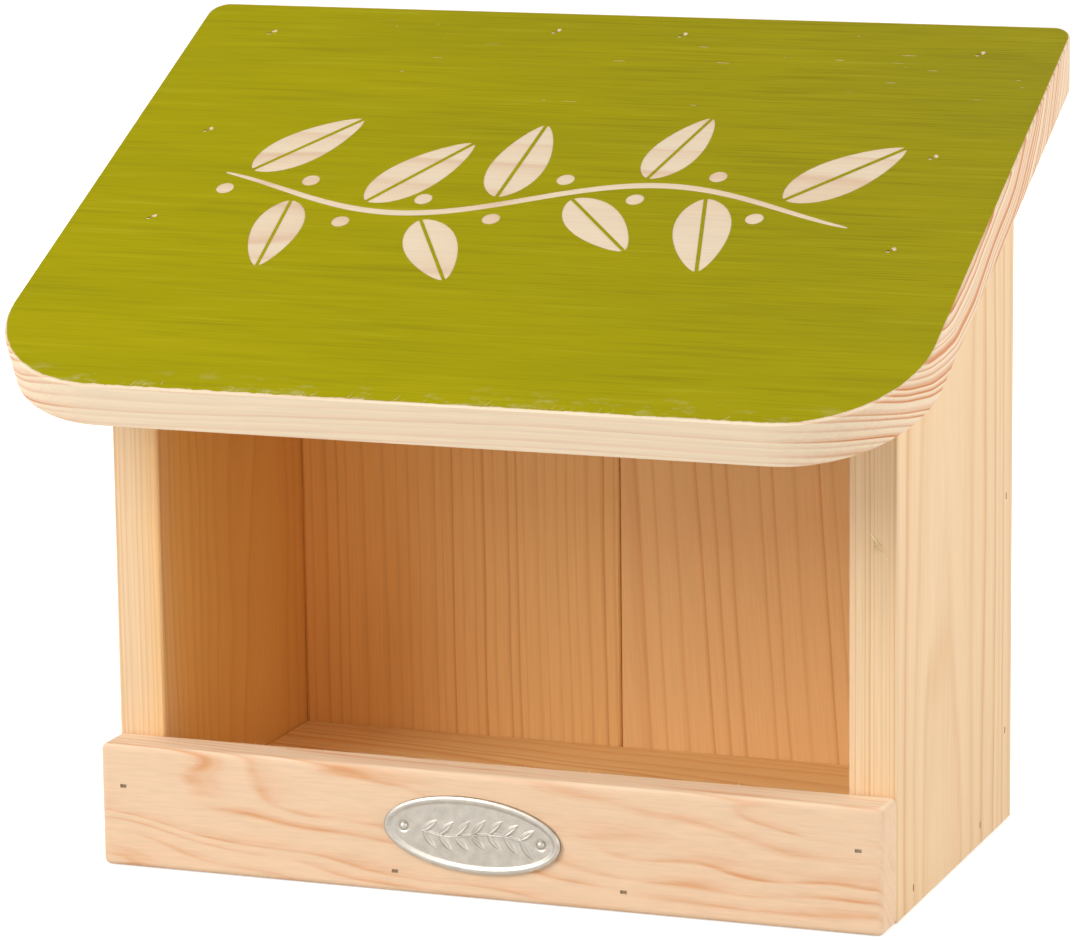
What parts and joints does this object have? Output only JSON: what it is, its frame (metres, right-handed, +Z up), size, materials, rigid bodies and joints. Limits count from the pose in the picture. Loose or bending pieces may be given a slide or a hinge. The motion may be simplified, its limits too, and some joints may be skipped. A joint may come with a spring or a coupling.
{
  "type": "wall bird table",
  "caption": "Open-fronted wall bird table of nailed pine boards: sloping painted roof with rounded front corners, low front board with a small oval plate, split back with hanging keyholes.",
  "frame": {"origin": "middle of the whole part's box, at the base that it stands on", "axes": "+Z up, +Y towards the wall, +X to the right of someone facing its open front"},
  "size_m": [0.287, 0.1868, 0.2505],
  "materials": {
    "pine": "planed softwood, untreated",
    "painted_pine": "planed softwood, olive-green paint on the upper face",
    "plate_metal": "dull cast white metal",
    "nail_steel": "dull steel wire nails"
  },
  "bodies": {
    "root": {"roof_board": "painted_pine", "side_left": "pine", "side_right": "pine", "back_board_left": "pine", "back_board_right": "pine", "floor_board": "pine", "front_board": "pine", "oval_plate": "plate_metal", "plate_pins": "plate_metal", "roof_left_nails": "nail_steel", "roof_right_nails": "nail_steel", "roof_back_nails": "nail_steel", "left_back_nails": "nail_steel", "right_back_nails": "nail_steel", "left_floor_nails": "nail_steel", "right_floor_nails": "nail_steel", "front_side_nails": "nail_steel", "front_floor_nails": "nail_steel", "back_floor_nails": "nail_steel"}
  },
  "joints": []
}
